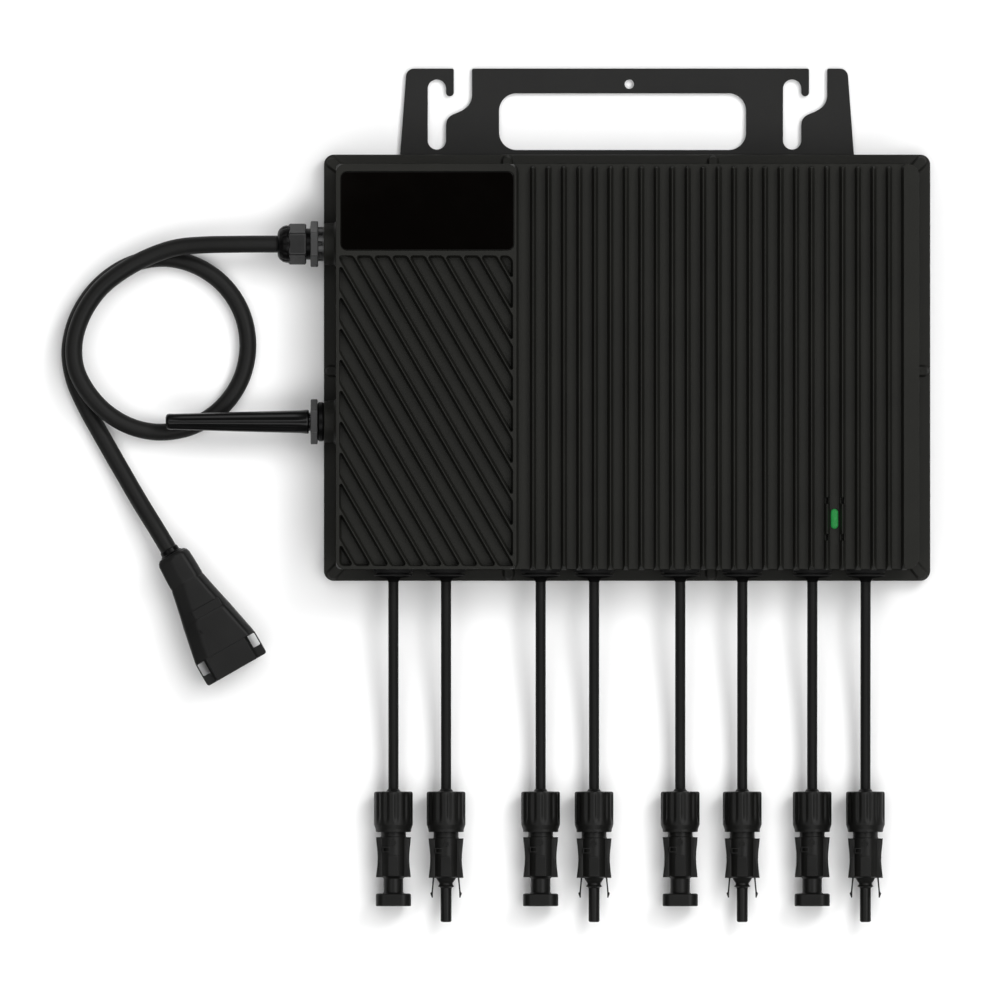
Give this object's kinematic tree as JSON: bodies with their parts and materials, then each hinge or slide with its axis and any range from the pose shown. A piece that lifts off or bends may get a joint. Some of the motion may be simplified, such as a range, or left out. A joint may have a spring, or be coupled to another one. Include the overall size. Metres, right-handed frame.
{
  "type": "micro inverter",
  "caption": "Flat ribbed black inverter case with a slotted hanging bracket, screw-fitted antenna, coiled AC lead with plug and short DC leads ending in latching connectors.",
  "frame": {"origin": "centre of the case's back face, on the plane that the object lies on", "axes": "+Z out of the ribbed front, +Y towards the hanging bracket, +X to the right seen from the front"},
  "size_m": [0.4343, 0.4266, 0.04],
  "materials": {
    "case_paint": "satin powder coat",
    "bracket_paint": "satin powder coat",
    "seal_rubber": "matt",
    "badge_gloss": "gloss",
    "light_window": "gloss",
    "circuit_board": "satin",
    "ferrite_core": "matt",
    "capacitor_case": "satin",
    "copper_winding": "satin",
    "relay_case": "satin",
    "gland_nylon": "satin",
    "antenna_rubber": "satin",
    "cable_sheath": "satin",
    "plug_plastic": "satin",
    "insert_plastic": "satin",
    "connector_plastic": "satin",
    "screw_steel": "satin",
    "contact_metal": "bright"
  },
  "bodies": {
    "inverter": {"front_case": "case_paint", "back_cover": "case_paint", "mounting_bracket": "bracket_paint", "case_gasket": "seal_rubber", "ac_gland_seal": "seal_rubber", "dc_grommet_1": "seal_rubber", "dc_grommet_2": "seal_rubber", "dc_grommet_3": "seal_rubber", "dc_grommet_4": "seal_rubber", "badge_panel": "badge_gloss", "led_lens": "light_window", "main_board": "circuit_board", "radio_board": "circuit_board", "transformer_1": "ferrite_core", "transformer_2": "ferrite_core", "transformer_3": "ferrite_core", "transformer_4": "ferrite_core", "bus_capacitor": "capacitor_case", "output_choke": "copper_winding", "grid_relay": "relay_case", "ac_gland_body": "gland_nylon", "ac_gland_locknut": "gland_nylon", "antenna_base": "gland_nylon", "ac_cable": "cable_sheath", "dc_cable_1": "cable_sheath", "dc_cable_2": "cable_sheath", "dc_cable_3": "cable_sheath", "dc_cable_4": "cable_sheath", "dc_cable_5": "cable_sheath", "dc_cable_6": "cable_sheath", "dc_cable_7": "cable_sheath", "dc_cable_8": "cable_sheath", "ac_plug_shell": "plug_plastic", "ac_plug_insert": "insert_plastic", "dc_socket_1": "connector_plastic", "dc_plug_2": "connector_plastic", "dc_socket_3": "connector_plastic", "dc_plug_4": "connector_plastic", "dc_socket_5": "connector_plastic", "dc_plug_6": "connector_plastic", "dc_socket_7": "connector_plastic", "dc_plug_8": "connector_plastic"},
    "nut_1": {"dc_nut_1": "connector_plastic"},
    "nut_2": {"dc_nut_2": "connector_plastic"},
    "latch_2_left": {"dc_latch_2_left": "connector_plastic"},
    "latch_2_right": {"dc_latch_2_right": "connector_plastic"},
    "nut_3": {"dc_nut_3": "connector_plastic"},
    "nut_4": {"dc_nut_4": "connector_plastic"},
    "latch_4_left": {"dc_latch_4_left": "connector_plastic"},
    "latch_4_right": {"dc_latch_4_right": "connector_plastic"},
    "nut_5": {"dc_nut_5": "connector_plastic"},
    "nut_6": {"dc_nut_6": "connector_plastic"},
    "latch_6_left": {"dc_latch_6_left": "connector_plastic"},
    "latch_6_right": {"dc_latch_6_right": "connector_plastic"},
    "nut_7": {"dc_nut_7": "connector_plastic"},
    "nut_8": {"dc_nut_8": "connector_plastic"},
    "latch_8_left": {"dc_latch_8_left": "connector_plastic"},
    "latch_8_right": {"dc_latch_8_right": "connector_plastic"},
    "gland_nut": {"ac_gland_nut": "gland_nylon"},
    "antenna": {"antenna_rod": "antenna_rubber"}
  },
  "joints": [
    {"name": "nut_1_turn", "type": "hinge", "parent": "inverter", "child": "nut_1", "pos_m": [-0.11675, -0.22, 0.0098], "axis": [0, -1, 0], "continuous": true},
    {"name": "nut_2_turn", "type": "hinge", "parent": "inverter", "child": "nut_2", "pos_m": [-0.09045, -0.22, 0.0098], "axis": [0, -1, 0], "continuous": true},
    {"name": "latch_2_left_flex", "type": "hinge", "parent": "inverter", "child": "latch_2_left", "pos_m": [-0.09655, -0.252, 0.0098], "axis": [0, 0, 1], "range_deg": [0, 7], "stiffness_Nm_per_rad": 0.6},
    {"name": "latch_2_right_flex", "type": "hinge", "parent": "inverter", "child": "latch_2_right", "pos_m": [-0.08435, -0.252, 0.0098], "axis": [0, 0, -1], "range_deg": [0, 7], "stiffness_Nm_per_rad": 0.6},
    {"name": "nut_3_turn", "type": "hinge", "parent": "inverter", "child": "nut_3", "pos_m": [-0.0432, -0.22, 0.0098], "axis": [0, -1, 0], "continuous": true},
    {"name": "nut_4_turn", "type": "hinge", "parent": "inverter", "child": "nut_4", "pos_m": [-0.0165, -0.22, 0.0098], "axis": [0, -1, 0], "continuous": true},
    {"name": "latch_4_left_flex", "type": "hinge", "parent": "inverter", "child": "latch_4_left", "pos_m": [-0.0226, -0.252, 0.0098], "axis": [0, 0, 1], "range_deg": [0, 7], "stiffness_Nm_per_rad": 0.6},
    {"name": "latch_4_right_flex", "type": "hinge", "parent": "inverter", "child": "latch_4_right", "pos_m": [-0.0104, -0.252, 0.0098], "axis": [0, 0, -1], "range_deg": [0, 7], "stiffness_Nm_per_rad": 0.6},
    {"name": "nut_5_turn", "type": "hinge", "parent": "inverter", "child": "nut_5", "pos_m": [0.02655, -0.22, 0.0098], "axis": [0, -1, 0], "continuous": true},
    {"name": "nut_6_turn", "type": "hinge", "parent": "inverter", "child": "nut_6", "pos_m": [0.05755, -0.22, 0.0098], "axis": [0, -1, 0], "continuous": true},
    {"name": "latch_6_left_flex", "type": "hinge", "parent": "inverter", "child": "latch_6_left", "pos_m": [0.05145, -0.252, 0.0098], "axis": [0, 0, 1], "range_deg": [0, 7], "stiffness_Nm_per_rad": 0.6},
    {"name": "latch_6_right_flex", "type": "hinge", "parent": "inverter", "child": "latch_6_right", "pos_m": [0.06365, -0.252, 0.0098], "axis": [0, 0, -1], "range_deg": [0, 7], "stiffness_Nm_per_rad": 0.6},
    {"name": "nut_7_turn", "type": "hinge", "parent": "inverter", "child": "nut_7", "pos_m": [0.0925, -0.22, 0.0098], "axis": [0, -1, 0], "continuous": true},
    {"name": "nut_8_turn", "type": "hinge", "parent": "inverter", "child": "nut_8", "pos_m": [0.1191, -0.22, 0.0098], "axis": [0, -1, 0], "continuous": true},
    {"name": "latch_8_left_flex", "type": "hinge", "parent": "inverter", "child": "latch_8_left", "pos_m": [0.113, -0.252, 0.0098], "axis": [0, 0, 1], "range_deg": [0, 7], "stiffness_Nm_per_rad": 0.6},
    {"name": "latch_8_right_flex", "type": "hinge", "parent": "inverter", "child": "latch_8_right", "pos_m": [0.1252, -0.252, 0.0098], "axis": [0, 0, -1], "range_deg": [0, 7], "stiffness_Nm_per_rad": 0.6},
    {"name": "gland_nut_turn", "type": "hinge", "parent": "inverter", "child": "gland_nut", "pos_m": [-0.166, 0.0617, 0.019], "axis": [-1, 0, 0], "continuous": true},
    {"name": "antenna_turn", "type": "hinge", "parent": "inverter", "child": "antenna", "pos_m": [-0.16, -0.027, 0.019], "axis": [-1, 0, 0], "continuous": true}
  ]
}
